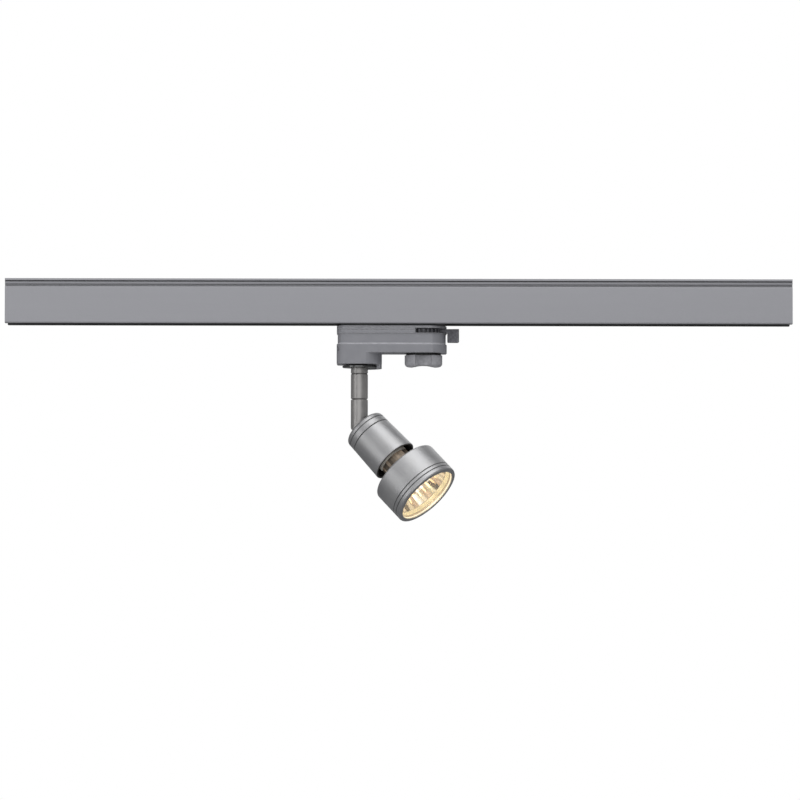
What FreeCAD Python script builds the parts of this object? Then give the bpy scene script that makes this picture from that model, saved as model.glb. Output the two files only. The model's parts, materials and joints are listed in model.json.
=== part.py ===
import FreeCAD, Part
import math
import os

# Track spotlight: a lighting track, an adapter that slides in it, a swivelling stem and a tilting lamp head.
# Millimetres. The origin is the centre of the track's ceiling face, +X runs along the track, +Z is up and the
# object's front faces -Y. The head is drawn hanging straight down from its pivot, then tilted and turned.

# Track
TRACK_LENGTH = 600.0
TRACK_HALF_WIDTH = 18.0
TRACK_HEIGHT = 34.0
SLOT_HALF_WIDTH = 9.0
ROOF = 2.4
CHANNEL_HALF_WIDTH = 15.8
LEDGE_TOP = -28.5
LEDGE_BOTTOM = -30.5
INSULATOR_BOTTOM = -25.5
CONDUCTOR_LEVELS = (-14.5, -20.5)
CONDUCTOR_FACE = 11.9
GROOVE_HALF_HEIGHT = 1.3
GROOVE_DEPTH_Y = 13.5
CEILING_SCREW_SPACING = 400.0
CEILING_SCREW_R = 2.25
EARTH_Y = 6.0

# Adapter
ADAPTER_LEFT = -47.2
ADAPTER_HALF_WIDTH = 16.4
SELECTOR_X = 19.0
END_R = 17.7
FLANGE_TOP = -35.4
FLANGE_BOTTOM = -41.2
PARTING = -49.1
BODY_BOTTOM = -56.1
BOSS_BOTTOM = -64.7
BOSS_R = 17.1
HOUSING_WALL = 2.0
FRONT_CORNER_R = 7.0
REAR_CORNER_R = 3.0
UPPER_BODY_INSET = 0.7
PARTING_BEVEL = 0.75
SCREW_POSTS = ((-40.0, -6.6), (-40.0, 6.6), (4.0, -11.6), (4.0, 11.6))
POST_R = 3.0

# Lock lever and phase selector, which share one upright axis
LEVER_TOP = -37.6
LEVER_THICKNESS = 3.0
LEVER_DRUM_R = 11.8
LEVER_RIB_R = 13.4
LEVER_RIBS = 24
LEVER_ARM_HALF_WIDTH = 4.6
LEVER_TAB_INNER_R = 18.7
LEVER_TAB_OUTER_R = 27.2
LEVER_TAB_BOTTOM = -47.7
SLEEVE_R = 6.0
SHAFT_R = 3.2
CLAW_TOP = -26.1
CLAW_THICKNESS = 2.2
CLAW_HALF_LENGTH = 14.3
KNOB_TOP = -57.7
KNOB_BOTTOM = -66.6
KNOB_R = 14.4
KNOB_ROUNDING = 2.8
KNOB_WAIST = 8.3
KNOB_SCOOP_R = 6.9
KNOB_DISH_R = 32.0
TOOTHED_RING_R = 13.4
TOOTHED_RING_TEETH = 24

# Stem
STEM_X = -30.0
STEM_R = 6.5
NIPPLE_R = 4.95
DISC_R = 13.0
DISC_TOP = -65.6
DISC_BOTTOM = -67.2
COLLAR_BOTTOM = -71.7
TUBE_BEVEL = 0.55
SWIVEL_Z = -91.2
SWIVEL_PIN_R = 3.2
PIVOT_Z = -109.2
FORK_SLOT_HALF = 2.45
TONGUE_R = 4.4
FORK_SLOT_TOP = TONGUE_R + 0.3
TILT_BOLT_R = 2.0
STOP_PIN_R = 0.8
STOP_TRACK_R = 4.9
PAN_LIMIT = 165.0

# Head, measured along its own axis from the tilt pivot
TILT = 46.6
PAN = 28.8
CAP_REAR = 5.8
CAP_FLOOR = 7.4
CAP_JOINT = 15.1
MOUTH = 43.2
RING_REAR = 54.4
RING_FRONT = 81.7
HEAD_R = 17.15
HEAD_TAPER = 0.036
RING_R = 27.6
RING_OPENING_R = 24.1
LAMP_FRONT = 78.1
LAMP_R = 25.3
LAMP_NECK = 43.0
LAMP_NECK_R = 12.2
LAMP_SHOULDER = 48.5
LAMP_BASE_REAR = 31.5
PIN_SPACING = 10.0
LAMP_TWIST = 25.0

RUNNING_FIT = 0.06
CLOSE_FIT = 0.05


def vec(x, y, z):
    return FreeCAD.Vector(x, y, z)


def box(x0, x1, y0, y1, z0, z1):
    return Part.makeBox(x1 - x0, y1 - y0, z1 - z0, vec(x0, y0, z0))


def rod(radius, z0, z1, x=0.0, y=0.0):
    return Part.makeCylinder(radius, z1 - z0, vec(x, y, z0))


def tube(outer, inner, z0, z1, x=0.0, y=0.0):
    return rod(outer, z0, z1, x, y).cut(rod(inner, z0, z1, x, y))


def rod_x(radius, x0, x1, y, z):
    return Part.makeCylinder(radius, x1 - x0, vec(x0, y, z), vec(1, 0, 0))


def rod_y(radius, y0, y1, x=0.0, z=0.0):
    return Part.makeCylinder(radius, y1 - y0, vec(x, y0, z), vec(0, 1, 0))


def joined(shapes):
    """One solid from shapes that touch or overlap."""
    whole = shapes[0].multiFuse(shapes[1:])
    return whole.removeSplitter()


def level_edges(shape, z):
    """Every edge that lies flat at height z."""
    boxes = [(edge, edge.BoundBox) for edge in shape.Edges]
    return [edge for edge, bounds in boxes if max(abs(bounds.ZMin - z), abs(bounds.ZMax - z)) < 1e-4]


def ease(shape, z, size):
    """Chamfer every edge that lies flat at height z."""
    return shape.makeChamfer(size, level_edges(shape, z))


def arc(cx, cy, radius, start, end):
    """Start, middle and end of an arc in the XY plane; the angles are in degrees."""
    points = []
    for angle in (start, (start + end) / 2.0, end):
        turn = math.radians(angle)
        points.append(vec(cx + radius * math.cos(turn), cy + radius * math.sin(turn), 0.0))
    return points


def outline(arcs):
    """A closed flat face whose boundary runs through each arc in turn, with straight lines between them."""
    edges = []
    for index, points in enumerate(arcs):
        edges.append(Part.Arc(*points).toShape())
        following = arcs[(index + 1) % len(arcs)][0]
        if points[2].distanceToPoint(following) > 1e-6:
            edges.append(Part.makeLine(points[2], following))
    return Part.Face(Part.Wire(edges))


def raised(face, z0, z1):
    lifted = face.copy()
    lifted.translate(vec(0, 0, z0))
    return lifted.extrude(vec(0, 0, z1 - z0))


def along_track(points, length):
    """A bar of the given (y, z) section, centred along the track."""
    corners = [vec(-length / 2.0, y, z) for y, z in points]
    face = Part.Face(Part.makePolygon(corners + corners[:1]))
    return face.extrude(vec(length, 0, 0))


def mirrored(points):
    """The other half of a section, in the order that closes the outline."""
    return [(-y, z) for y, z in reversed(points)]


def turned(points):
    """A solid of revolution about Z; each point is (radius, distance below the origin)."""
    corners = [vec(radius, 0, -depth) for radius, depth in points]
    face = Part.Face(Part.makePolygon(corners + corners[:1]))
    return face.revolve(vec(0, 0, 0), vec(0, 0, 1), 360)


def hexagon(across_flats, z0, z1):
    corners = []
    for index in range(7):
        turn = math.radians(60.0 * index + 30.0)
        reach = across_flats / math.sqrt(3.0)
        corners.append(vec(reach * math.cos(turn), reach * math.sin(turn), z0))
    return Part.Face(Part.makePolygon(corners)).extrude(vec(0, 0, z1 - z0))


def sector(outer, inner, start, end, z0, z1):
    """Part of a ring between two angles, in degrees."""
    wedge = Part.makeCylinder(outer, z1 - z0, vec(0, 0, z0), vec(0, 0, 1), end - start)
    wedge.rotate(vec(0, 0, 0), vec(0, 0, 1), start)
    return wedge.cut(rod(inner, z0, z1))


def moved(shape, x=0.0, y=0.0, z=0.0):
    copy = shape.copy()
    copy.translate(vec(x, y, z))
    return copy


def spun(shape, angle):
    copy = shape.copy()
    copy.rotate(vec(0, 0, 0), vec(0, 0, 1), angle)
    return copy


def at_stem(shape):
    """From a frame centred on the tilt pivot to the object's frame, turned to the pan angle."""
    return moved(spun(shape, -PAN), STEM_X, 0.0, PIVOT_Z)


def at_head(shape):
    """From the head hanging straight down at the pivot to its tilted and turned place."""
    tilted = shape.copy()
    tilted.rotate(vec(0, 0, 0), vec(0, 1, 0), -TILT)
    return at_stem(tilted)


# ---------------------------------------------------------------- track

def track_profile():
    half = [
        (17.8, 0.0), (TRACK_HALF_WIDTH, -0.2), (TRACK_HALF_WIDTH, -1.5), (17.0, -1.8), (17.0, -2.3),
        (TRACK_HALF_WIDTH, -2.6), (17.4, -4.2), (16.6, -4.3), (16.6, -5.8),
        (17.4, -5.9), (TRACK_HALF_WIDTH, -6.7), (TRACK_HALF_WIDTH, -33.2), (17.3, -TRACK_HEIGHT),
        (16.9, -TRACK_HEIGHT), (16.9, LEDGE_BOTTOM), (10.6, LEDGE_BOTTOM), (10.6, LEDGE_TOP),
        (CHANNEL_HALF_WIDTH, LEDGE_TOP), (CHANNEL_HALF_WIDTH, -ROOF),
    ]
    profile = along_track(half + mirrored(half), TRACK_LENGTH)
    for side in (-1, 1):
        profile = profile.cut(rod(CEILING_SCREW_R, -ROOF - 1, 1, side * CEILING_SCREW_SPACING / 2.0))
    return profile


def track_insulator(side):
    top = -ROOF - 0.2
    outer = CHANNEL_HALF_WIDTH - 0.1
    face = SLOT_HALF_WIDTH
    section = [(face, top), (outer, top), (outer, INSULATOR_BOTTOM), (face, INSULATOR_BOTTOM)]
    for level in reversed(CONDUCTOR_LEVELS):
        low = level - GROOVE_HALF_HEIGHT
        high = level + GROOVE_HALF_HEIGHT
        section += [(face, low), (GROOVE_DEPTH_Y, low), (GROOVE_DEPTH_Y, high), (face, high)]
    return along_track([(side * y, z) for y, z in section], TRACK_LENGTH - 2.0)


def track_lip(side):
    step = LEDGE_BOTTOM - 0.1
    section = [
        (SLOT_HALF_WIDTH, -TRACK_HEIGHT), (16.8, -TRACK_HEIGHT), (16.8, step), (10.5, step),
        (10.5, LEDGE_TOP - 0.1), (SLOT_HALF_WIDTH, LEDGE_TOP - 0.1),
    ]
    return along_track([(side * y, z) for y, z in section], TRACK_LENGTH)


def track_conductors():
    half = TRACK_LENGTH / 2.0 - 3.0
    bars = []
    for side in (-1, 1):
        for level in CONDUCTOR_LEVELS:
            faces = sorted((side * CONDUCTOR_FACE, side * (GROOVE_DEPTH_Y - 0.1)))
            bars.append(box(-half, half, faces[0], faces[1], level - 1.2, level + 1.2))
    return Part.makeCompound(bars)


def track_earth_strip():
    half = TRACK_LENGTH / 2.0 - 3.0
    return box(-half, half, EARTH_Y - 1.5, EARTH_Y + 1.5, -ROOF - 1.1, -ROOF - 0.05)


# ---------------------------------------------------------------- adapter

def adapter_plan(inset):
    """The adapter seen from above: its front right corner is an arc about the selector axis."""
    half = ADAPTER_HALF_WIDTH - inset
    left = ADAPTER_LEFT + inset
    end = END_R - inset
    crease = math.degrees(math.asin(half / end))
    front = FRONT_CORNER_R - inset
    rear = max(REAR_CORNER_R - inset, 0.5)
    return outline([
        arc(left + front, front - half, front, 180, 270),
        arc(SELECTOR_X, 0.0, end, -crease, 0),
        arc(SELECTOR_X + end - rear, half - rear, rear, 0, 90),
        arc(left + rear, half - rear, rear, 90, 180),
    ])


def boss_plan(inset):
    """The stem boss seen from above: its right side is an arc about the stem axis."""
    half = ADAPTER_HALF_WIDTH - inset
    left = ADAPTER_LEFT + inset
    reach = BOSS_R - inset
    crease = math.degrees(math.asin(half / reach))
    front = FRONT_CORNER_R - inset
    rear = max(REAR_CORNER_R - inset, 0.5)
    return outline([
        arc(left + front, front - half, front, 180, 270),
        arc(STEM_X, 0.0, reach, -crease, crease),
        arc(left + rear, half - rear, rear, 90, 180),
    ])


def screw_posts(z0, z1):
    return [rod(POST_R, z0, z1, x, y) for x, y in SCREW_POSTS]


def screw_holes(z0, z1, radius):
    return [rod(radius, z0, z1, x, y) for x, y in SCREW_POSTS]


def adapter_upper_housing():
    plate = FLANGE_TOP - 1.6
    flange = ease(raised(adapter_plan(0.0), FLANGE_BOTTOM, FLANGE_TOP), FLANGE_TOP, 0.5)
    for level in (-36.9, -38.6):
        ring = raised(adapter_plan(-1.0), level - 0.2, level + 0.2)
        flange = flange.cut(ring.cut(raised(adapter_plan(0.35), level - 0.2, level + 0.2)))
    body = raised(adapter_plan(UPPER_BODY_INSET), PARTING + 0.05, FLANGE_BOTTOM)
    shell = flange.fuse(body)
    shell = shell.cut(raised(adapter_plan(HOUSING_WALL + UPPER_BODY_INSET), PARTING - 1.0, plate))
    lever_slot = sector(22.0, 13.6, -112.0, 20.0, FLANGE_BOTTOM + 0.2, LEVER_TOP + 0.2)
    shell = shell.cut(moved(lever_slot, SELECTOR_X))
    shell = joined([shell] + screw_posts(PARTING + 0.05, plate))
    shell = shell.cut(rod(SLEEVE_R + RUNNING_FIT, PARTING, FLANGE_TOP + 1.0, SELECTOR_X))
    for hole in screw_holes(PARTING - 1.0, FLANGE_TOP + 1.0, 1.7):
        shell = shell.cut(hole)
    for sink in screw_holes(FLANGE_TOP - 1.4, FLANGE_TOP + 1.0, 2.9):
        shell = shell.cut(sink)
    return shell


def adapter_lower_housing():
    floor = BODY_BOTTOM + HOUSING_WALL
    body = ease(raised(adapter_plan(-0.1), BODY_BOTTOM, PARTING), PARTING, PARTING_BEVEL)
    body = ease(body, BODY_BOTTOM, 0.5)
    boss = ease(raised(boss_plan(-0.1), BOSS_BOTTOM, BODY_BOTTOM + 1.0), BOSS_BOTTOM, 0.5)
    skirt = moved(sector(BOSS_R, 14.3, -22.0, 72.0, BOSS_BOTTOM - 3.2, BOSS_BOTTOM + 1.0), STEM_X)
    shell = joined([body, boss, skirt])
    shell = shell.cut(raised(adapter_plan(HOUSING_WALL), floor, PARTING + 1.0))
    shell = shell.cut(raised(boss_plan(HOUSING_WALL), BOSS_BOTTOM + HOUSING_WALL, floor + 0.5))
    posts = [rod(POST_R, floor - 0.5, PARTING, x, y) for x, y in SCREW_POSTS[2:]]
    posts += [rod(POST_R, BOSS_BOTTOM + 1.0, PARTING, x, y) for x, y in SCREW_POSTS[:2]]
    shell = joined([shell] + posts)
    for hole in screw_holes(floor, PARTING + 1.0, 1.25):
        shell = shell.cut(hole)
    shell = shell.cut(rod(NIPPLE_R + CLOSE_FIT, BOSS_BOTTOM - 1, BOSS_BOTTOM + 3, STEM_X))
    shell = shell.cut(rod(SHAFT_R + RUNNING_FIT, BODY_BOTTOM - 1, floor + 1, SELECTOR_X))
    return shell.cut(rod_x(2.2, ADAPTER_LEFT - 1.0, -40.5, -12.0, -53.3))


def adapter_screws():
    screws = []
    for x, y in SCREW_POSTS:
        head = Part.makeCone(1.2, 2.7, 1.3, vec(x, y, FLANGE_TOP - 1.35))
        screws.append(joined([head, rod(1.2, -52.0, FLANGE_TOP - 1.3, x, y)]))
    return Part.makeCompound(screws)


def cable_clamp_screw():
    body = rod_x(2.0, ADAPTER_LEFT + 3.0, -39.0, -12.0, -53.3)
    slot = box(ADAPTER_LEFT + 2.0, ADAPTER_LEFT + 3.8, -14.5, -9.5, -53.65, -52.95)
    return body.cut(slot)


def contact_carrier():
    base = box(-44.0, 35.0, -13.5, 13.5, FLANGE_TOP + 0.05, FLANGE_TOP + 1.25)
    base = base.cut(rod(SLEEVE_R + 0.5, FLANGE_TOP, FLANGE_TOP + 2, SELECTOR_X))
    tower = box(-44.0, 2.0, -8.6, 8.6, FLANGE_TOP + 1.0, -9.0)
    tower = tower.cut(box(-43.0, 1.0, -7.2, 7.2, FLANGE_TOP + 2.5, -11.0))
    carrier = joined([base, tower])
    carrier = carrier.cut(box(-22.1, -9.9, 4.9, 9.0, -21.1, -19.9))
    carrier = carrier.cut(box(-43.2, -36.8, -9.0, 9.0, -28.4, -27.0))
    return carrier.cut(box(-20.1, -7.9, EARTH_Y - 1.6, EARTH_Y + 1.6, -14.1, -8.0))


def neutral_contact():
    blade = box(-22.0, -10.0, 5.0, 11.5, -21.0, -20.0)
    tail = box(-17.0, -15.0, 5.0, 6.0, -30.0, -20.5)
    return joined([blade, tail])


def earth_contact():
    y0 = EARTH_Y - 1.5
    y1 = EARTH_Y + 1.5
    bridge = box(-20.0, -8.0, y0, y1, -14.0, -3.8)
    return bridge.cut(box(-19.4, -8.6, y0, y1, -15.0, -4.4))


def end_catch():
    plate = box(-43.1, -36.9, -12.5, 12.5, -28.3, -27.1)
    return plate.cut(rod(1.6, -29.0, -26.0, -40.0))


def terminal_block():
    block = box(-14.0, -0.5, -8.0, 8.0, -52.0, -42.0)
    for y in (-5.0, 0.0, 5.0):
        block = block.cut(rod_x(1.3, -15.0, 1.0, y, -48.5))
        block = block.cut(rod(1.6, -45.0, -41.0, -7.2, y))
    return block


def detent_spring():
    leaf = box(SELECTOR_X - 11.0, SELECTOR_X + 11.0, 8.2, 8.7, -53.6, -50.6)
    foot = box(SELECTOR_X + 10.5, SELECTOR_X + 11.0, 8.2, 11.6, -53.6, -50.6)
    return joined([leaf, foot])


# ---------------------------------------------------------------- lock lever

def lock_lever():
    bottom = LEVER_TOP - LEVER_THICKNESS
    drum = tube(LEVER_DRUM_R, SLEEVE_R + 0.02, bottom, LEVER_TOP)
    rib = box(LEVER_DRUM_R - 0.4, LEVER_RIB_R, -0.55, 0.55, bottom, LEVER_TOP)
    ribs = [spun(rib, 360.0 * index / LEVER_RIBS) for index in range(LEVER_RIBS)]
    half = LEVER_ARM_HALF_WIDTH
    arm = box(LEVER_DRUM_R - 1.0, LEVER_TAB_INNER_R + 1.0, -half, half, bottom, LEVER_TOP)
    tab = sector(LEVER_TAB_OUTER_R, LEVER_TAB_INNER_R, -13.0, 13.0, LEVER_TAB_BOTTOM, LEVER_TOP)
    tab = ease(tab, LEVER_TAB_BOTTOM, 0.5)
    return moved(joined([drum] + ribs + [arm, tab]), SELECTOR_X)


def claw_sleeve():
    return tube(SLEEVE_R, SHAFT_R + RUNNING_FIT, LEVER_TOP - LEVER_THICKNESS - 1.0, CLAW_TOP, SELECTOR_X)


def locking_claw():
    bottom = CLAW_TOP - CLAW_THICKNESS
    bar = box(-4.5, 4.5, -CLAW_HALF_LENGTH, CLAW_HALF_LENGTH, bottom, CLAW_TOP)
    plate = joined([bar, rod(7.6, bottom, CLAW_TOP)])
    return moved(plate.cut(rod(SLEEVE_R + 0.02, bottom - 1, CLAW_TOP + 1)), SELECTOR_X)


# ---------------------------------------------------------------- phase selector

def selector_knob():
    """A round knob, pinched at front and back for the fingers and dished below."""
    blank = rod(KNOB_R, KNOB_BOTTOM, KNOB_TOP)
    knob = blank.makeFillet(KNOB_ROUNDING, level_edges(blank, KNOB_BOTTOM))
    for side in (-1, 1):
        scoop = rod(KNOB_SCOOP_R, KNOB_BOTTOM - 1.0, KNOB_TOP + 1.0, 0.0, side * (KNOB_WAIST + KNOB_SCOOP_R))
        knob = knob.cut(scoop)
    knob = knob.cut(rod_y(KNOB_DISH_R, -20.0, 20.0, 0.0, KNOB_BOTTOM + 1.3 - KNOB_DISH_R))
    return moved(knob.cut(rod(SHAFT_R + 0.02, KNOB_TOP - 5.0, KNOB_TOP + 1.0)), SELECTOR_X)


def toothed_ring():
    """The dark ring between the adapter and the knob."""
    ring = tube(TOOTHED_RING_R, SHAFT_R + CLOSE_FIT, KNOB_TOP + 0.02, BODY_BOTTOM - 0.1)
    notch = box(TOOTHED_RING_R - 1.2, TOOTHED_RING_R + 1.0, -0.6, 0.6, KNOB_TOP, BODY_BOTTOM)
    for index in range(TOOTHED_RING_TEETH):
        ring = ring.cut(spun(notch, 360.0 * index / TOOTHED_RING_TEETH))
    return moved(ring, SELECTOR_X)


def selector_shaft():
    return rod(SHAFT_R, KNOB_TOP - 4.9, -11.5, SELECTOR_X)


def phase_blade(level, angle):
    return spun(box(4.5, 11.5, -1.5, 1.5, level - 0.5, level + 0.5), angle)


def phase_blades():
    upper, lower = CONDUCTOR_LEVELS
    return [phase_blade(lower, -90.0), phase_blade(upper, 180.0)]


def selector_rotor():
    rotor = tube(7.5, SHAFT_R + 0.02, -23.5, -11.6)
    for blade in phase_blades():
        rotor = rotor.cut(blade)
    return moved(rotor, SELECTOR_X)


def phase_contacts():
    return moved(Part.makeCompound(phase_blades()), SELECTOR_X)


def detent_disc():
    """A square cam with rounded corners, which the leaf spring presses on at each quarter turn."""
    cam = rod(8.0, -53.8, -50.8).common(box(-7.2, 7.2, -7.2, 7.2, -54.0, -50.0))
    return moved(cam.cut(rod(SHAFT_R + 0.02, -55.0, -50.0)), SELECTOR_X)


# ---------------------------------------------------------------- upper stem

def stem_nipple():
    return tube(NIPPLE_R, 3.4, -79.5, -56.5, STEM_X)


def nipple_nut():
    nut = hexagon(14.0, BOSS_BOTTOM + HOUSING_WALL, BOSS_BOTTOM + HOUSING_WALL + 3.5)
    return moved(nut.cut(rod(NIPPLE_R + CLOSE_FIT, -70.0, -50.0)), STEM_X)


def seat_washer():
    return tube(9.0, NIPPLE_R + CLOSE_FIT, DISC_TOP, BOSS_BOTTOM, STEM_X)


def collar_disc():
    disc = ease(ease(rod(DISC_R, DISC_BOTTOM, DISC_TOP), DISC_BOTTOM, 0.4), DISC_TOP, 0.4)
    return moved(disc.cut(rod(NIPPLE_R + CLOSE_FIT, -70.0, -60.0)), STEM_X)


def stem_collar():
    collar = ease(rod(STEM_R, COLLAR_BOTTOM, DISC_BOTTOM), COLLAR_BOTTOM, TUBE_BEVEL)
    return moved(collar.cut(rod(NIPPLE_R + CLOSE_FIT, -75.0, -60.0)), STEM_X)


def stem_upper_tube():
    top = COLLAR_BOTTOM - 0.1
    bottom = SWIVEL_Z + 0.15
    body = ease(ease(rod(STEM_R, bottom, top), top, TUBE_BEVEL), bottom, TUBE_BEVEL)
    body = body.cut(rod(NIPPLE_R + CLOSE_FIT, -80.0, top + 1.0))
    body = body.cut(rod(SWIVEL_PIN_R + 0.02, bottom - 1.0, -80.5))
    return moved(body.cut(rod(STOP_PIN_R + 0.02, bottom - 1.0, -88.0, STOP_TRACK_R)), STEM_X)


def swivel_pin():
    return tube(SWIVEL_PIN_R, 1.8, -99.4, -83.0, STEM_X)


def swivel_nut():
    nut = hexagon(8.0, -98.6, -95.6)
    return moved(nut.cut(rod(SWIVEL_PIN_R + 0.02, -99.0, -95.0)), STEM_X)


def swivel_stop_pin():
    return rod(STOP_PIN_R, SWIVEL_Z - 1.7, -88.1, STEM_X + STOP_TRACK_R)


# ---------------------------------------------------------------- lower stem

def stem_lower_tube():
    """A tube with a stop groove in its top face and a fork, rounded about the tilt pivot, at its foot."""
    top = SWIVEL_Z - 0.15 - PIVOT_Z
    web = top - 4.0
    body = ease(rod(STEM_R, -STEM_R, top), top, TUBE_BEVEL)
    body = body.common(joined([box(-10, 10, -10, 10, 0, top + 1), rod_y(STEM_R, -10, 10)]))
    body = body.cut(rod(SWIVEL_PIN_R + RUNNING_FIT, web - 1.0, top + 1.0))
    body = body.cut(rod(5.0, 8.4, web))
    groove_end = PAN_LIMIT + 12.0
    groove = sector(STOP_TRACK_R + 1.0, STOP_TRACK_R - 1.0, -groove_end, groove_end, top - 1.9, top + 1.0)
    body = body.cut(spun(groove, PAN))
    body = body.cut(box(-10, 10, -FORK_SLOT_HALF, FORK_SLOT_HALF, -10, FORK_SLOT_TOP))
    body = body.cut(rod(2.0, FORK_SLOT_TOP - 0.5, 9.0))
    body = body.cut(rod_y(TILT_BOLT_R + 0.03, -5.0, 10))
    return at_stem(body.cut(rod_y(3.6, 4.6, 10)))


def tilt_bolt():
    """It goes in from the back and ends in a blind thread, so the fork's front cheek shows no fastener."""
    shank = rod_y(TILT_BOLT_R, -4.9, 4.7)
    socket = hexagon(2.5, -6.3, -5.2)
    socket.rotate(vec(0, 0, 0), vec(1, 0, 0), 90)
    head = rod_y(3.4, 4.65, 6.1).cut(socket)
    return at_stem(joined([shank, head]))


def friction_washers():
    washers = []
    for y0, y1 in ((-2.4, -2.05), (2.05, 2.4)):
        washers.append(rod_y(TONGUE_R - 0.2, y0, y1).cut(rod_y(TILT_BOLT_R + 0.1, y0, y1)))
    return at_stem(Part.makeCompound(washers))


# ---------------------------------------------------------------- head

def housing_r(distance):
    """Outside radius of the rear part of the head, which widens towards its mouth."""
    return HEAD_R + HEAD_TAPER * (distance - 13.0)


def vee(radius, distance, half_width=0.45, depth=0.6):
    """The three section points of a fine turned groove."""
    return [(radius, distance - half_width), (radius - depth, distance), (radius, distance + half_width)]


def rounded_edge(radius, distance, size, steps=6):
    """Section points of a quarter round that rises from an end face to the outside."""
    points = []
    for index in range(steps + 1):
        turn = math.radians(90.0 * index / steps)
        points.append((radius - size * (1 - math.sin(turn)), distance + size * (1 - math.cos(turn))))
    return points


def rear_cap():
    shoulder = 2.4
    section = [(0.0, CAP_FLOOR), (12.6, CAP_FLOOR), (12.6, CAP_REAR + 0.3), (12.9, CAP_REAR)]
    section += rounded_edge(housing_r(CAP_REAR + shoulder), CAP_REAR, shoulder)
    section += vee(housing_r(10.1), 10.1)
    section += [(housing_r(CAP_JOINT) - 0.05, CAP_JOINT - 0.45), (16.6, CAP_JOINT), (15.2, CAP_JOINT)]
    section += [(15.2, 18.2), (13.8, 18.2), (13.8, 9.2), (0.0, 9.2)]
    cap = turned(section).cut(box(-5.6, 5.6, -2.1, 2.1, -10.0, -7.0))
    for side in (-1, 1):
        cap = cap.cut(rod(1.55, -9.3, -7.9, 0.0, side * 6.2))
    return at_head(cap)


def tilt_tongue():
    blade = joined([box(-TONGUE_R, TONGUE_R, -2.0, 2.0, -9.35, 0.0), rod_y(TONGUE_R, -2.0, 2.0)])
    foot = box(-5.5, 5.5, -9.2, 9.2, -10.9, -9.25)
    tongue = joined([blade, foot]).cut(rod_y(TILT_BOLT_R + RUNNING_FIT, -3, 3))
    for side in (-1, 1):
        tongue = tongue.cut(rod(1.6, -12, -9, 0.0, side * 6.2))
    return at_head(tongue)


def tongue_screws():
    screws = []
    for side in (-1, 1):
        y = side * 6.2
        screws.append(joined([rod(1.5, -11.0, -7.95, 0.0, y), rod(2.7, -12.4, -10.95, 0.0, y)]))
    return at_head(Part.makeCompound(screws))


def rear_housing():
    rear = CAP_JOINT + 0.1
    section = [
        (15.3, rear), (16.7, rear), (housing_r(rear) - 0.05, rear + 0.45), (housing_r(MOUTH), MOUTH - 0.5),
        (housing_r(MOUTH) - 0.4, MOUTH), (16.7, MOUTH), (16.4, MOUTH - 0.3), (16.4, 18.4), (15.3, 18.4),
    ]
    return at_head(turned(section))


def inner_sleeve():
    return at_head(tube(16.3, 15.5, -MOUTH + 1.4, -18.6))


def lampholder_body():
    """A round ceramic body with two bayonet chambers: narrow arc slots in front, wide chambers behind."""
    body = rod(12.8, -31.2, -20.0)
    reach = PIN_SPACING / 2.0
    for half_turn in (0.0, 180.0):
        chamber = sector(reach + 2.9, reach - 2.9, -LAMP_TWIST - 34.0, 34.0, -29.2, -23.4)
        slot = sector(reach + 1.75, reach - 1.75, -LAMP_TWIST - 22.0, 22.0, -32.0, -29.0)
        entry = spun(rod(2.9, -32.0, -29.0, reach), -LAMP_TWIST)
        for cutter in (chamber, slot, entry):
            body = body.cut(spun(cutter, half_turn))
    for side in (-1, 1):
        body = body.cut(rod(1.6, -26.6, -19.0, 0.0, side * 9.6))
    return at_head(body)


def lampholder_contacts():
    reach = PIN_SPACING / 2.0
    leaf = sector(reach + 2.6, reach - 2.6, -LAMP_TWIST - 20.0, 20.0, -24.1, -23.5)
    return at_head(Part.makeCompound([leaf, spun(leaf, 180.0)]))


def lampholder_bracket():
    plate = box(-4.5, 4.5, -16.0, 16.0, -19.9, -18.7).common(rod(15.4, -20.0, -18.0))
    for side in (-1, 1):
        plate = plate.cut(rod(1.6, -21.0, -18.0, 0.0, side * 9.6))
    return at_head(plate)


def bracket_screws():
    screws = []
    for side in (-1, 1):
        y = side * 9.6
        screws.append(joined([rod(1.5, -26.4, -18.0, 0.0, y), rod(2.7, -18.65, -17.2, 0.0, y)]))
    return at_head(Part.makeCompound(screws))


def lampholder_leads():
    leads = []
    for side in (-1, 1):
        leads.append(rod(0.9, -19.95, -9.3, side * 8.0, 0.0))
    return at_head(Part.makeCompound(leads))


# ---------------------------------------------------------------- lamp

def reflector_r(distance):
    """Outside radius of the lamp's bowl, which flares from the shoulder to a nearly upright rim."""
    part = (distance - LAMP_SHOULDER) / (LAMP_FRONT - 4.0 - LAMP_SHOULDER)
    return LAMP_NECK_R + (LAMP_R - 0.8 - LAMP_NECK_R) * part ** 0.66


def bowl_points(shrink, first, last, steps=14):
    points = []
    for index in range(steps + 1):
        distance = first + (last - first) * (index / steps) ** 1.6
        points.append((reflector_r(distance) - shrink, distance))
    return points


def lamp_reflector():
    wall = 1.5
    rim = LAMP_FRONT - 4.0
    section = [(LAMP_NECK_R, LAMP_NECK)] + bowl_points(0.0, LAMP_SHOULDER, rim)
    section += [(LAMP_R, rim + 0.6), (LAMP_R, LAMP_FRONT)]
    section += [(LAMP_R - wall, LAMP_FRONT), (LAMP_R - wall, rim + 2.0)]
    section += list(reversed(bowl_points(wall, LAMP_SHOULDER + 0.8, rim + 1.0)))
    section += [(LAMP_NECK_R - wall, LAMP_NECK + 3.0), (5.0, LAMP_NECK + 3.0), (5.0, LAMP_NECK)]
    return at_head(turned(section))


def lamp_base():
    section = [
        (0.0, LAMP_BASE_REAR), (11.8, LAMP_BASE_REAR), (12.4, LAMP_BASE_REAR + 0.6), (12.4, LAMP_NECK - 2.0),
        (11.6, LAMP_NECK - 0.05), (0.0, LAMP_NECK - 0.05),
    ]
    return at_head(turned(section))


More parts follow.
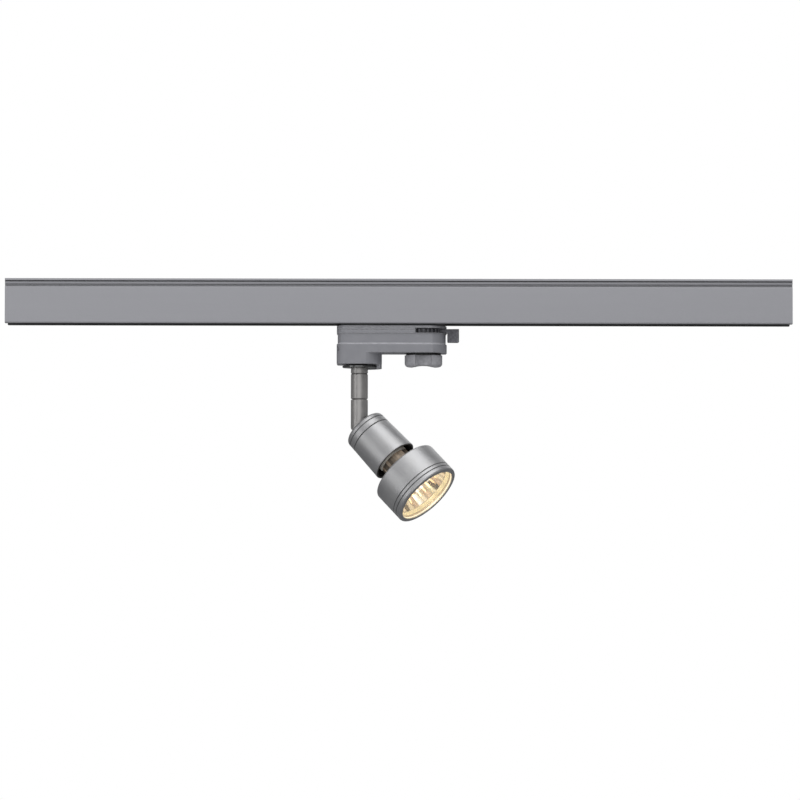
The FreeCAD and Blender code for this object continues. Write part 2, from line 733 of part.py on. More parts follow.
def lamp_pins():
    pins = []
    for side in (-1, 1):
        x = side * PIN_SPACING / 2.0
        pins.append(joined([rod(1.5, -LAMP_BASE_REAR, -25.5, x), rod(2.5, -26.6, -24.5, x)]))
    return at_head(Part.makeCompound(pins))


def lamp_front_glass():
    edge = LAMP_R - 1.6
    section = [
        (0.0, LAMP_FRONT - 1.9), (edge, LAMP_FRONT - 1.9), (edge, LAMP_FRONT - 0.5),
        (edge - 2.0, LAMP_FRONT - 0.3), (0.0, LAMP_FRONT - 0.3),
    ]
    return at_head(turned(section))


def lamp_capsule():
    outside = [
        (0.0, 0.0), (3.6, 0.0), (3.6, 8.0), (5.2, 11.0), (5.2, 20.0), (4.4, 22.5), (2.2, 24.4), (0.9, 24.8),
    ]
    inside = [(0.9, 23.6), (3.4, 21.6), (4.3, 19.6), (4.3, 11.4), (0.9, 9.4), (0.0, 9.4)]
    section = outside + [(0.0, 24.8), (0.0, 23.6)] + inside
    return at_head(turned([(radius, LAMP_NECK + height) for radius, height in section]))


def lamp_filament():
    coil = rod_y(0.8, -3.2, 3.2, 0.0, -(LAMP_NECK + 17.0))
    leads = [rod(0.25, -(LAMP_NECK + 17.0), -(LAMP_NECK + 10.9), 0.0, side * 2.8) for side in (-1, 1)]
    return at_head(joined([coil] + leads))


# ---------------------------------------------------------------- front ring

def front_ring():
    section = [(25.9, RING_REAR + 0.3)]
    section += rounded_edge(RING_R, RING_REAR, 1.4)
    section += vee(RING_R, RING_FRONT - 7.0) + vee(RING_R, RING_FRONT - 4.0)
    section += [
        (RING_R, RING_FRONT - 1.2), (RING_R - 0.35, RING_FRONT - 0.35), (RING_R - 1.1, RING_FRONT),
        (RING_OPENING_R + 0.2, RING_FRONT), (RING_OPENING_R, RING_FRONT - 0.2),
        (RING_OPENING_R, LAMP_FRONT + 0.1), (25.9, LAMP_FRONT + 0.1),
    ]
    return at_head(turned(section))


def ring_clips():
    clips = []
    for middle in (0.0, 120.0, 240.0):
        clips.append(sector(25.85, 25.4, middle - 14.0, middle + 14.0, -LAMP_FRONT + 0.1, -68.0))
    return at_head(Part.makeCompound(clips))


NODES = {
    "track_profile": track_profile(),
    "track_insulator_front": track_insulator(-1),
    "track_insulator_rear": track_insulator(1),
    "track_lip_front": track_lip(-1),
    "track_lip_rear": track_lip(1),
    "track_conductors": track_conductors(),
    "track_earth_strip": track_earth_strip(),
    "adapter_upper_housing": adapter_upper_housing(),
    "adapter_lower_housing": adapter_lower_housing(),
    "adapter_screws": adapter_screws(),
    "cable_clamp_screw": cable_clamp_screw(),
    "contact_carrier": contact_carrier(),
    "neutral_contact": neutral_contact(),
    "earth_contact": earth_contact(),
    "end_catch": end_catch(),
    "terminal_block": terminal_block(),
    "detent_spring": detent_spring(),
    "lock_lever": lock_lever(),
    "claw_sleeve": claw_sleeve(),
    "locking_claw": locking_claw(),
    "selector_knob": selector_knob(),
    "toothed_ring": toothed_ring(),
    "selector_shaft": selector_shaft(),
    "selector_rotor": selector_rotor(),
    "phase_contacts": phase_contacts(),
    "detent_disc": detent_disc(),
    "stem_nipple": stem_nipple(),
    "nipple_nut": nipple_nut(),
    "seat_washer": seat_washer(),
    "collar_disc": collar_disc(),
    "stem_collar": stem_collar(),
    "stem_upper_tube": stem_upper_tube(),
    "swivel_pin": swivel_pin(),
    "swivel_nut": swivel_nut(),
    "swivel_stop_pin": swivel_stop_pin(),
    "stem_lower_tube": stem_lower_tube(),
    "tilt_bolt": tilt_bolt(),
    "friction_washers": friction_washers(),
    "rear_cap": rear_cap(),
    "tilt_tongue": tilt_tongue(),
    "tongue_screws": tongue_screws(),
    "rear_housing": rear_housing(),
    "inner_sleeve": inner_sleeve(),
    "lampholder_body": lampholder_body(),
    "lampholder_contacts": lampholder_contacts(),
    "lampholder_bracket": lampholder_bracket(),
    "bracket_screws": bracket_screws(),
    "lampholder_leads": lampholder_leads(),
    "lamp_reflector": lamp_reflector(),
    "lamp_base": lamp_base(),
    "lamp_pins": lamp_pins(),
    "lamp_front_glass": lamp_front_glass(),
    "lamp_capsule": lamp_capsule(),
    "lamp_filament": lamp_filament(),
    "front_ring": front_ring(),
    "ring_clips": ring_clips(),
}

os.makedirs("parts", exist_ok=True)
for node, shape in NODES.items():
    shape.exportStep("parts/" + node + ".step")
    print(node, "solids", len(shape.Solids), "valid", shape.isValid(), "volume", round(shape.Volume, 1))
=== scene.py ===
import json
import math
import random

import bmesh
import bpy
from mathutils import Matrix, Vector

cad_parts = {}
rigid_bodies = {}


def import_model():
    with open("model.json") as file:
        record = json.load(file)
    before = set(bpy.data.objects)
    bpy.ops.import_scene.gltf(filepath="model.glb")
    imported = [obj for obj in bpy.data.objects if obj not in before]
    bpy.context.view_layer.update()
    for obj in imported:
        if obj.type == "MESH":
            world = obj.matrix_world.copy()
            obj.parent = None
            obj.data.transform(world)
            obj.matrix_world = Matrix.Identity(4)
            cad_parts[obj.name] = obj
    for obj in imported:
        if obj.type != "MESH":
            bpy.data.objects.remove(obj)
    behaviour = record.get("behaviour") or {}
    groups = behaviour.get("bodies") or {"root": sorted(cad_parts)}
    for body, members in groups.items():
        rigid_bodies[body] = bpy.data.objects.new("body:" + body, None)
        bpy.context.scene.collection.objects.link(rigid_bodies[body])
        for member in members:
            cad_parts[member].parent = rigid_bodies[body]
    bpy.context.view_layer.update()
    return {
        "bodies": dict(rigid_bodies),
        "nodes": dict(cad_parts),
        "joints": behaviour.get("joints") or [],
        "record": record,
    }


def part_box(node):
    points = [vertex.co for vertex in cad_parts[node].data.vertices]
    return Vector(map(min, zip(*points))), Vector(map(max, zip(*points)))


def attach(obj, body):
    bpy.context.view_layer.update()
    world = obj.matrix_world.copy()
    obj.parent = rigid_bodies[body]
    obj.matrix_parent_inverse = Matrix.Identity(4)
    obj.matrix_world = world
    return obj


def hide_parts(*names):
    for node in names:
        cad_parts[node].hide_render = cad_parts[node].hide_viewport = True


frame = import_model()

# Looks for the track spotlight. Lengths are metres unless a name ends in _MM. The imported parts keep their
# own shapes and take procedural finishes; the reflector lamp's glass, facets and filament are built here.

MM = 0.001
NODES = frame["nodes"]
JOINTS = {joint["name"]: joint for joint in frame["joints"]}

# Camera: its picture is PICTURE_WIDTH wide on the plane through the track's front face.
CAMERA_LENS = 200.0
CAMERA_SENSOR = 36.0
CAMERA_ELEVATION = math.radians(-2.5)
CAMERA_ROLL = math.radians(0.1)
PICTURE_WIDTH = 0.6086
AIM = Vector((0.0011, 0.0, -0.0917))

FLOOR_LEVEL = -1.0
FLOOR_RADIUS = 3.6
ROOM_STRENGTH = 0.18
LAMP_GLOW_WATTS = 0.005

# Lamp, in millimetres along the head's axis from the tilt pivot
LAMP_NECK_MM = 43.0
LAMP_NECK_R_MM = 12.2
LAMP_SHOULDER_MM = 48.5
LAMP_RIM_MM = 74.1
LAMP_FRONT_MM = 78.1
LAMP_R_MM = 25.3
BOWL_WALL_MM = 1.5
BOWL_EDGE_MM = 0.8
BOWL_FLARE = 0.66

# The facets: each is a pillow of FACET_CELLS by FACET_CELLS faces, and the rows crowd towards the neck.
FACETS_START_MM = LAMP_SHOULDER_MM - 2.0
FACETS_END_MM = 75.0
FACET_SECTORS = 32
FACET_ROWS = 4
FACET_CELLS = 5
FACET_CROWDING = 1.25
FACET_SWELL_ALONG_MM = 0.08
FACET_SWELL_ACROSS_MM = 0.384
FACET_SEED = 11
WELD_MM = 0.002
BACK_ROW_MM = 3.4

COIL_TURNS = 11
COIL_STEPS = 16
COIL_HALF_MM = 3.2
COIL_R_MM = 0.65
COIL_WIRE_R_MM = 0.13

# Half the height of the painted highlight along the adapter's joint
JOINT_HIGHLIGHT_HALF_MM = 0.32

# Where the head's finishes change: radii, and distances along its axis from the tilt pivot, as in the CAD
HOUSING_BORE_R_MM = 16.4
HOUSING_MOUTH_MM = 43.2
RING_OPENING_R_MM = 24.1
RING_FRONT_MM = 81.7


# ---------------------------------------------------------------- node helpers

def new_material(name):
    material = bpy.data.materials.new(name)
    material.use_nodes = True
    tree = material.node_tree
    return material, tree, tree.nodes["Principled BSDF"]


def add(tree, kind, inputs=None, **settings):
    made = tree.nodes.new(kind)
    for name, value in settings.items():
        setattr(made, name, value)
    for name, value in (inputs or {}).items():
        made.inputs[name].default_value = value
    return made


def link(tree, source, target):
    tree.links.new(source, target)


def object_space(tree):
    return add(tree, "ShaderNodeTexCoord").outputs["Object"]


def noise(tree, size_mm, detail=2.0, stretch=(1.0, 1.0, 1.0)):
    """A value around 0.5 that varies over about size_mm; stretch above 1 squeezes it along that axis."""
    mapping = add(tree, "ShaderNodeMapping", {"Scale": stretch})
    link(tree, object_space(tree), mapping.inputs["Vector"])
    texture = add(tree, "ShaderNodeTexNoise", {"Scale": 1.0 / (size_mm * MM), "Detail": detail})
    link(tree, mapping.outputs["Vector"], texture.inputs["Vector"])
    return texture.outputs["Fac"]


def spread(tree, value, low, high, first=0.3, last=0.7):
    """Value, which lies mostly between first and last, mapped to low..high."""
    ranged = add(tree, "ShaderNodeMapRange", {
        "From Min": first, "From Max": last, "To Min": low, "To Max": high,
    })
    link(tree, value, ranged.inputs["Value"])
    return ranged.outputs["Result"]


def calculate(tree, operation, first, second):
    """A Math node; second is a socket or a number."""
    maths = add(tree, "ShaderNodeMath", operation=operation)
    link(tree, first, maths.inputs[0])
    if isinstance(second, float):
        maths.inputs[1].default_value = second
    else:
        link(tree, second, maths.inputs[1])
    return maths.outputs["Value"]


def mixed(tree, factor, first, second):
    """A colour between first and second; each is a socket or an RGB triple."""
    mix = add(tree, "ShaderNodeMix", data_type="RGBA")
    link(tree, factor, mix.inputs["Factor"])
    for socket, colour in ((mix.inputs["A"], first), (mix.inputs["B"], second)):
        if isinstance(colour, tuple):
            socket.default_value = (*colour, 1.0)
        else:
            link(tree, colour, socket)
    return mix.outputs["Result"]


def rounded_normal(tree, radius_mm):
    bevel = add(tree, "ShaderNodeBevel", {"Radius": radius_mm * MM}, samples=4)
    return bevel.outputs["Normal"]


def edge_mask(tree, normal):
    """0 on flat ground, rising to 1 where the rounded normal leaves the true one."""
    geometry = add(tree, "ShaderNodeNewGeometry")
    product = add(tree, "ShaderNodeVectorMath", operation="DOT_PRODUCT")
    link(tree, normal, product.inputs[0])
    link(tree, geometry.outputs["Normal"], product.inputs[1])
    return spread(tree, product.outputs["Value"], 1.0, 0.0, 0.82, 0.995)


def crevice_mask(tree, reach_mm):
    """0 on open ground, rising to 1 in grooves and gaps narrower than about reach_mm."""
    shelter = add(tree, "ShaderNodeAmbientOcclusion", {"Distance": reach_mm * MM}, samples=6)
    return spread(tree, shelter.outputs["AO"], 1.0, 0.0, 0.25, 0.85)


def level_band(tree, level_mm, half_mm):
    """1 within half_mm of a height in the rest frame, fading to 0 at twice that."""
    axes = add(tree, "ShaderNodeSeparateXYZ")
    link(tree, object_space(tree), axes.inputs["Vector"])
    offset = calculate(tree, "SUBTRACT", axes.outputs["Z"], level_mm * MM)
    distance = add(tree, "ShaderNodeMath", operation="ABSOLUTE")
    link(tree, offset, distance.inputs[0])
    return spread(tree, distance.outputs["Value"], 1.0, 0.0, half_mm * MM, half_mm * 2.0 * MM)


def bumped(tree, height, depth_mm, normal=None):
    bump = add(tree, "ShaderNodeBump", {"Distance": depth_mm * MM})
    link(tree, height, bump.inputs["Height"])
    if normal is not None:
        link(tree, normal, bump.inputs["Normal"])
    return bump.outputs["Normal"]


def painted_over(material, mask, colour):
    """Lays a colour over a finish where the mask is 1."""
    tree = material.node_tree
    base = tree.nodes["Principled BSDF"].inputs["Base Color"]
    link(tree, mixed(tree, mask, base.links[0].from_socket, colour), base)


def surface(name, dark, light, roughness, metallic=0.0, patch_mm=14.0, grain_mm=0.3, grain_depth_mm=0.012,
            stretch=(1.0, 1.0, 1.0), edge_mm=0.3, edge_wear_and_highlight=None, coat=0.0, crevice_shade=0.0, crevice_shade_mm=2.2):
    """Drifting colour, a grained skin, uneven gloss; if asked, edge wear mixed with painted highlight, and
    painted shade in grooves.
    """
    material, tree, shader = new_material(name)
    patches = noise(tree, patch_mm, 4.0, stretch)
    grain = noise(tree, grain_mm, 3.0, stretch)
    colour = mixed(tree, spread(tree, patches, 0.0, 1.0), dark, light)
    speckle = spread(tree, grain, 0.0, 0.35)
    colour = mixed(tree, speckle, colour, light)
    normal = rounded_normal(tree, edge_mm)
    # Pale edges: partly wear, partly a painted highlight along edges that catch the light.
    if edge_wear_and_highlight:
        uneven = spread(tree, noise(tree, 2.5, 3.0), 0.3, 1.0)
        wear_and_highlight = calculate(tree, "MULTIPLY", edge_mask(tree, normal), uneven)
        colour = mixed(tree, wear_and_highlight, colour, edge_wear_and_highlight)
    # Painted shade: grooves and gaps narrower than the reach are darkened towards a dim copy of the dark
    # colour.
    if crevice_shade:
        painted_shade = calculate(tree, "MULTIPLY", crevice_mask(tree, crevice_shade_mm), crevice_shade)
        colour = mixed(tree, painted_shade, colour, tuple(channel * 0.16 for channel in dark))
    link(tree, colour, shader.inputs["Base Color"])
    drift = spread(tree, patches, roughness[0], roughness[1])
    gloss = calculate(tree, "ADD", drift, spread(tree, grain, -0.04, 0.04))
    link(tree, gloss, shader.inputs["Roughness"])
    link(tree, bumped(tree, grain, grain_depth_mm, normal), shader.inputs["Normal"])
    shader.inputs["Metallic"].default_value = metallic
    shader.inputs["Coat Weight"].default_value = coat
    return material


# ---------------------------------------------------------------- finishes

def track_paint():
    """Grey powder coat over an extrusion: die lines run along the track under a fine orange peel."""
    return surface("track_paint", (0.312, 0.313, 0.338), (0.356, 0.357, 0.383), (0.42, 0.54), metallic=0.1,
                   patch_mm=60.0, grain_mm=0.9, grain_depth_mm=0.02, stretch=(0.08, 1.6, 1.6), edge_mm=0.25,
                   edge_wear_and_highlight=(0.50, 0.50, 0.53), crevice_shade=1.8, crevice_shade_mm=3.6)


def housing_plastic():
    """Spark-eroded grey moulding, with a painted highlight along the joint between its shells."""
    material = surface("housing_plastic", (0.228, 0.230, 0.253), (0.264, 0.266, 0.289), (0.46, 0.60),
                       patch_mm=9.0, grain_mm=0.28, grain_depth_mm=0.018, edge_mm=0.6,
                       edge_wear_and_highlight=(0.66, 0.66, 0.68))
    tree = material.node_tree
    joint_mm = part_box("adapter_lower_housing")[1].z / MM
    uneven = spread(tree, noise(tree, 4.0, 3.0), 0.55, 0.95)
    joint_highlight = calculate(tree, "MULTIPLY", level_band(tree, joint_mm, JOINT_HIGHLIGHT_HALF_MM), uneven)
    # A pale band along the joint: a painted highlight.
    painted_over(material, joint_highlight, (0.58, 0.58, 0.62))
    return material


def knob_plastic():
    return surface("knob_plastic", (0.275, 0.276, 0.298), (0.415, 0.415, 0.440), (0.48, 0.62), patch_mm=2.2,
                   grain_mm=0.5, grain_depth_mm=0.03, edge_mm=0.8, edge_wear_and_highlight=(0.48, 0.48, 0.50))


def lever_plastic():
    return surface("lever_plastic", (0.060, 0.060, 0.072), (0.165, 0.165, 0.186), (0.42, 0.58), patch_mm=1.8,
                   grain_mm=0.5, grain_depth_mm=0.03, edge_mm=0.5, edge_wear_and_highlight=(0.80, 0.80, 0.88), crevice_shade=1.4,
                   crevice_shade_mm=1.8)


def black_plastic():
    return surface("black_plastic", (0.010, 0.010, 0.011), (0.022, 0.022, 0.024), (0.40, 0.58), patch_mm=20.0,
                   grain_mm=0.35, grain_depth_mm=0.015, edge_mm=0.25, edge_wear_and_highlight=(0.06, 0.06, 0.06))


def black_rubber():
    return surface("black_rubber", (0.012, 0.012, 0.012), (0.03, 0.03, 0.03), (0.65, 0.8), patch_mm=3.0,
                   grain_mm=0.25, grain_depth_mm=0.02, edge_mm=0.2)


def silver_lacquer(name="silver_lacquer"):
    """Silver lacquer with fine flake."""
    return surface(name, (0.440, 0.440, 0.452), (0.500, 0.500, 0.504), (0.42, 0.50), metallic=0.85,
                   patch_mm=11.0, grain_mm=0.22, grain_depth_mm=0.006, edge_mm=0.35, edge_wear_and_highlight=(0.56, 0.56, 0.55),
                   crevice_shade=0.95)


def along_and_off_axis(tree):
    """How far a point lies along the head's axis from the tilt pivot, and how far off that axis."""
    axis = Vector(JOINTS["lamp_twist"]["axis"]).normalized()
    offset = add(tree, "ShaderNodeVectorMath", {1: Vector(JOINTS["tilt"]["pos_m"])}, operation="SUBTRACT")
    link(tree, object_space(tree), offset.inputs[0])
    along = add(tree, "ShaderNodeVectorMath", {1: axis}, operation="DOT_PRODUCT")
    link(tree, offset.outputs["Vector"], along.inputs[0])
    across = add(tree, "ShaderNodeVectorMath", {1: axis}, operation="CROSS_PRODUCT")
    link(tree, offset.outputs["Vector"], across.inputs[0])
    radius = add(tree, "ShaderNodeVectorMath", operation="LENGTH")
    link(tree, across.outputs["Vector"], radius.inputs[0])
    return along.outputs["Value"], radius.outputs["Value"]


def step_mm(tree, value, low, high, first_mm, last_mm):
    """A distance mapped to low..high between two marks in millimetres."""
    return spread(tree, value, low, high, first_mm * MM, last_mm * MM)


def housing_lacquer():
    """The head's lacquer outside; the bore is blackened, and the end of the wall is darkened as painted
    shade.
    """
    material = silver_lacquer("housing_lacquer")
    tree = material.node_tree
    along, radius = along_and_off_axis(tree)
    bore = step_mm(tree, radius, 1.0, 0.0, HOUSING_BORE_R_MM + 0.3, HOUSING_BORE_R_MM + 0.5)
    # The end face of the wall is darkened: painted shade.
    end = step_mm(tree, along, 0.0, 0.85, HOUSING_MOUTH_MM - 0.12, HOUSING_MOUTH_MM - 0.04)
    mottle = spread(tree, noise(tree, 3.0, 3.0), 0.8, 1.0)
    dark = calculate(tree, "MULTIPLY", calculate(tree, "MAXIMUM", bore, end), mottle)
    painted_over(material, dark, (0.02, 0.02, 0.02))
    return material


def ring_lacquer():
    """The head's lacquer; painted lamp light glows on the opening's wall, most of all just behind its dark
    front lip.
    """
    material = silver_lacquer("ring_lacquer")
    tree = material.node_tree
    shader = tree.nodes["Principled BSDF"]
    along, radius = along_and_off_axis(tree)
    wall = step_mm(tree, radius, 1.0, 0.0, RING_OPENING_R_MM + 0.15, RING_OPENING_R_MM + 0.35)
    lip = step_mm(tree, along, 1.0, 0.15, RING_FRONT_MM - 1.1, RING_FRONT_MM - 0.6)
    bright = step_mm(tree, along, 0.24, 1.0, RING_FRONT_MM - 2.2, RING_FRONT_MM - 1.4)
    uneven = spread(tree, noise(tree, 9.0), 0.8, 1.1)
    lit = calculate(tree, "MULTIPLY", calculate(tree, "MULTIPLY", wall, bright), lip)
    lit = calculate(tree, "MULTIPLY", lit, uneven)
    # Painted light: the wall glows with the lamp's colour instead of being lit by it.
    link(tree, lit, shader.inputs["Emission Strength"])
    link(tree, mixed(tree, bright, (1.0, 0.62, 0.22), (1.0, 0.88, 0.62)), shader.inputs["Emission Color"])
    return material


def stem_lacquer():
    return surface("stem_lacquer", (0.330, 0.323, 0.317), (0.385, 0.376, 0.369), (0.34, 0.42), metallic=0.55,
                   patch_mm=6.0, grain_mm=0.22, grain_depth_mm=0.005, edge_mm=0.25, edge_wear_and_highlight=(0.42, 0.41, 0.40),
                   crevice_shade=0.5)


def dark_lacquer():
    return surface("dark_lacquer", (0.10, 0.10, 0.10), (0.20, 0.20, 0.20), (0.14, 0.26), metallic=0.9,
                   patch_mm=4.0, grain_mm=0.25, grain_depth_mm=0.005, edge_mm=0.2, edge_wear_and_highlight=(0.30, 0.30, 0.30))


def sleeve_lacquer():
    return surface("sleeve_lacquer", (0.006, 0.006, 0.006), (0.014, 0.013, 0.012), (0.55, 0.7), patch_mm=4.0,
                   grain_mm=0.3, grain_depth_mm=0.01, edge_mm=0.1)


def plated_steel():
    return surface("plated_steel", (0.50, 0.50, 0.50), (0.64, 0.64, 0.63), (0.22, 0.38), metallic=1.0,
                   patch_mm=2.0, grain_mm=0.15, grain_depth_mm=0.004, edge_mm=0.1, edge_wear_and_highlight=(0.75, 0.75, 0.74))


def drawn_copper():
    return surface("drawn_copper", (0.62, 0.27, 0.14), (0.80, 0.42, 0.26), (0.22, 0.40), metallic=1.0,
                   patch_mm=12.0, grain_mm=0.5, grain_depth_mm=0.004, stretch=(0.05, 1.5, 1.5), edge_mm=0.1,
                   edge_wear_and_highlight=(0.90, 0.56, 0.40))


def spring_bronze():
    return surface("spring_bronze", (0.58, 0.36, 0.15), (0.74, 0.50, 0.24), (0.25, 0.40), metallic=1.0,
                   patch_mm=4.0, grain_mm=0.2, grain_depth_mm=0.004, edge_mm=0.1, edge_wear_and_highlight=(0.86, 0.66, 0.38))


def steatite():
    return surface("steatite", (0.66, 0.62, 0.55), (0.80, 0.77, 0.71), (0.5, 0.7), patch_mm=5.0,
                   grain_mm=0.2, grain_depth_mm=0.02, edge_mm=0.3)


def silicone_wire():
    return surface("silicone_wire", (0.62, 0.60, 0.54), (0.78, 0.76, 0.70), (0.45, 0.6), patch_mm=3.0,
                   grain_mm=0.3, grain_depth_mm=0.01, edge_mm=0.1)


def bowl_back():
    """The glass's coated outside: each facet shows in its own tone, and a little warm painted glow stands for
    light leaking out.
    """
    material = surface("bowl_back", (0.09, 0.072, 0.058), (0.20, 0.172, 0.14), (0.12, 0.3), patch_mm=5.0,
                       grain_mm=1.2, grain_depth_mm=0.04, edge_mm=0.2, coat=0.4)
    tree = material.node_tree
    shader = tree.nodes["Principled BSDF"]
    shade = add(tree, "ShaderNodeAttribute", attribute_name="shade").outputs["Fac"]
    clouded = calculate(tree, "MULTIPLY", shade, spread(tree, noise(tree, 2.6, 3.0), 0.35, 1.0))
    painted_over(material, clouded, (0.66, 0.57, 0.47))
    # Painted glow: a warm emission standing in for light leaking out through the back.
    link(tree, calculate(tree, "MULTIPLY", clouded, 0.10), shader.inputs["Emission Strength"])
    shader.inputs["Emission Color"].default_value = (1.0, 0.62, 0.34, 1.0)
    return material


def bowl_mirror():
    """The dichroic coating: each facet has its own glow, a painted reflection kept in the mesh's glow and
    tint attributes.
    """
    material, tree, shader = new_material("bowl_mirror")
    tint = add(tree, "ShaderNodeAttribute", attribute_name="tint")
    glow = add(tree, "ShaderNodeAttribute", attribute_name="glow")
    ripple = noise(tree, 1.1, 3.0)
    link(tree, mixed(tree, spread(tree, ripple, 0.55, 0.75), tint.outputs["Color"], (0.05, 0.04, 0.03)),
         shader.inputs["Base Color"])
    link(tree, mixed(tree, spread(tree, ripple, 0.0, 0.5), tint.outputs["Color"], (1.0, 0.86, 0.62)),
         shader.inputs["Emission Color"])
    link(tree, calculate(tree, "MULTIPLY", glow.outputs["Fac"], spread(tree, ripple, 0.75, 1.2)),
         shader.inputs["Emission Strength"])
    link(tree, spread(tree, ripple, 0.06, 0.16), shader.inputs["Roughness"])
    link(tree, bumped(tree, ripple, 0.02), shader.inputs["Normal"])
    shader.inputs["Metallic"].default_value = 0.9
    return material


def rim_glass():
    """Pressed-glass rim, with a painted glow for the lamp's light inside it."""
    material, tree, shader = new_material("rim_glass")
    streak = noise(tree, 6.0, 2.0)
    link(tree, mixed(tree, spread(tree, streak, 0.0, 1.0), (0.42, 0.34, 0.18), (0.50, 0.42, 0.25)),
         shader.inputs["Base Color"])
    # Painted glow standing in for the lamp's light inside the glass.
    link(tree, spread(tree, streak, 0.46, 0.62), shader.inputs["Emission Strength"])
    shader.inputs["Emission Color"].default_value = (1.0, 0.85, 0.52, 1.0)
    link(tree, spread(tree, noise(tree, 1.5), 0.16, 0.24), shader.inputs["Roughness"])
    return material


def clear_glass(name, tint, facing, edge):
    """Thin clear glass that lets light pass; it turns denser where it is seen at a slant."""
    material, tree, shader = new_material(name)
    slant = add(tree, "ShaderNodeLayerWeight", {"Blend": 0.35}).outputs["Facing"]
    smears = noise(tree, 7.0, 3.0)
    thickness = spread(tree, slant, facing, edge, 0.0, 1.0)
    density = calculate(tree, "ADD", thickness, spread(tree, smears, -0.01, 0.02))
    link(tree, density, shader.inputs["Alpha"])
    link(tree, spread(tree, smears, 0.02, 0.10), shader.inputs["Roughness"])
    link(tree, mixed(tree, slant, tint, (1.0, 0.97, 0.90)), shader.inputs["Base Color"])
    shader.inputs["IOR"].default_value = 1.5
    return material


def hot_wire():
    material, tree, shader = new_material("hot_wire")
    shader.inputs["Base Color"].default_value = (0.9, 0.7, 0.4, 1.0)
    shader.inputs["Emission Color"].default_value = (1.0, 0.78, 0.45, 1.0)
    link(tree, spread(tree, noise(tree, 0.6), 9.0, 14.0), shader.inputs["Emission Strength"])
    return material


FINISHES = {
    "track_metal": track_paint(),
    # strip_plastic is black partly as the insulator's own colour and partly as painted shade for the track's
    # underside.
    "strip_plastic": black_plastic(),
    "copper": drawn_copper(),
    "housing_plastic": housing_plastic(),
    "lever_plastic": lever_plastic(),
    "carrier_plastic": black_plastic(),
    "steel": plated_steel(),
    "spring_metal": spring_bronze(),
    "washer_rubber": black_rubber(),
    "stem_metal": stem_lacquer(),
    "disc_metal": dark_lacquer(),
    "head_metal": silver_lacquer(),
    "sleeve_metal": sleeve_lacquer(),
    "holder_ceramic": steatite(),
    "lead_sleeve": silicone_wire(),
    "lamp_ceramic": steatite(),
    "pin_metal": plated_steel(),
}
OWN_FINISHES = {
    "selector_knob": knob_plastic(),
    "rear_housing": housing_lacquer(),
    "front_ring": ring_lacquer(),
}


def dress_packed_parts():
    """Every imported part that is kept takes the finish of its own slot."""
    slots = {part["node"]: part["material_slot"] for part in frame["record"]["subparts"]}
    for node, part in NODES.items():
        finish = OWN_FINISHES.get(node) or FINISHES.get(slots[node])
        if finish:
            part.data.materials.clear()
            part.data.materials.append(finish)


# ---------------------------------------------------------------- mesh helpers

def head_frame():
    """The head's own frame: origin at the tilt pivot, +Y along the hinge and -Z the way the lamp shines."""
    forward = Vector(JOINTS["lamp_twist"]["axis"]).normalized()
    hinge = -Vector(JOINTS["tilt"]["axis"]).normalized()
    side = hinge.cross(-forward)
    turn = Matrix((side, hinge, -forward)).transposed()
    return Matrix.Translation(Vector(JOINTS["tilt"]["pos_m"])) @ turn.to_4x4()


def to_object(name, mesh, material, place, body, replaced=None):
    """A visual piece; its mesh is moved into place, so its own origin stays the frame's."""
    mesh.transform(place)
    data = bpy.data.meshes.new(name)
    mesh.to_mesh(data)
    mesh.free()
    data.materials.append(material)
    piece = bpy.data.objects.new(name, data)
    bpy.context.scene.collection.objects.link(piece)
    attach(piece, body)
    if replaced:
        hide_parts(replaced)


def ring_point(radius_mm, distance_mm, angle):
    return Vector((radius_mm * math.cos(angle), radius_mm * math.sin(angle), -distance_mm)) * MM


def turned(outline, segments=144):
    """A closed turned solid; the outline is (radius, distance) pairs in millimetres, on or off the axis."""
    mesh = bmesh.new()
    rings = []
    for radius, distance in outline:
        if radius < 1e-6:
            rings.append([mesh.verts.new(ring_point(0.0, distance, 0.0))] * segments)
        else:
            turns = [2.0 * math.pi * step / segments for step in range(segments)]
            rings.append([mesh.verts.new(ring_point(radius, distance, turn)) for turn in turns])
    for index, ring in enumerate(rings):
        following = rings[(index + 1) % len(rings)]
        for step in range(segments):
            near = (step + 1) % segments
            corners = [ring[step], ring[near], following[near], following[step]]
            corners = [corner for place, corner in enumerate(corners) if corner not in corners[:place]]
            if len(corners) > 2:
                mesh.faces.new(corners).smooth = True
    bmesh.ops.recalc_face_normals(mesh, faces=mesh.faces)
    return mesh


def softened(outline, size_mm):
    """The outline with each corner off the axis replaced by a small curve."""
    steps = 4
    result = []
    count = len(outline)
    for index, corner in enumerate(outline):
        here = Vector(corner)
        before = Vector(outline[index - 1])
        after = Vector(outline[(index + 1) % count])
        if here.x < 1e-6:
            result.append(corner)
            continue
        start = here + (before - here).normalized() * min(size_mm, (before - here).length * 0.45)
        end = here + (after - here).normalized() * min(size_mm, (after - here).length * 0.45)
        for step in range(steps + 1):
            part = step / steps
            point = start * (1 - part) ** 2 + here * 2 * part * (1 - part) + end * part ** 2
            result.append((point.x, point.y))
    return result


# ---------------------------------------------------------------- lamp

def bowl_radius(distance_mm):
    """Outside radius of the lamp's bowl: a plain neck, then a flare from the shoulder to the rim."""
    part = max(0.0, (distance_mm - LAMP_SHOULDER_MM) / (LAMP_RIM_MM - LAMP_SHOULDER_MM))
    return LAMP_NECK_R_MM + (LAMP_R_MM - BOWL_EDGE_MM - LAMP_NECK_R_MM) * part ** BOWL_FLARE


def facet_look(row, chance):
    """Glow and tint of one facet, a painted reflection: the deep rows glow brightest, and some facets show a
    painted reflection of the dark room.
    """
    row_depth = 1.0 - row / FACET_ROWS
    draw = chance.random()
    if draw < 0.10 + 0.20 * row_depth:
        return 0.95, (1.0, 0.92, 0.78)
    if draw < 0.48:
        return 0.55, (1.0, 0.82, 0.52)
    if draw < 0.70:
        return 0.42, (0.98, 0.68, 0.42)
    return 0.05, (0.52, 0.40, 0.27)


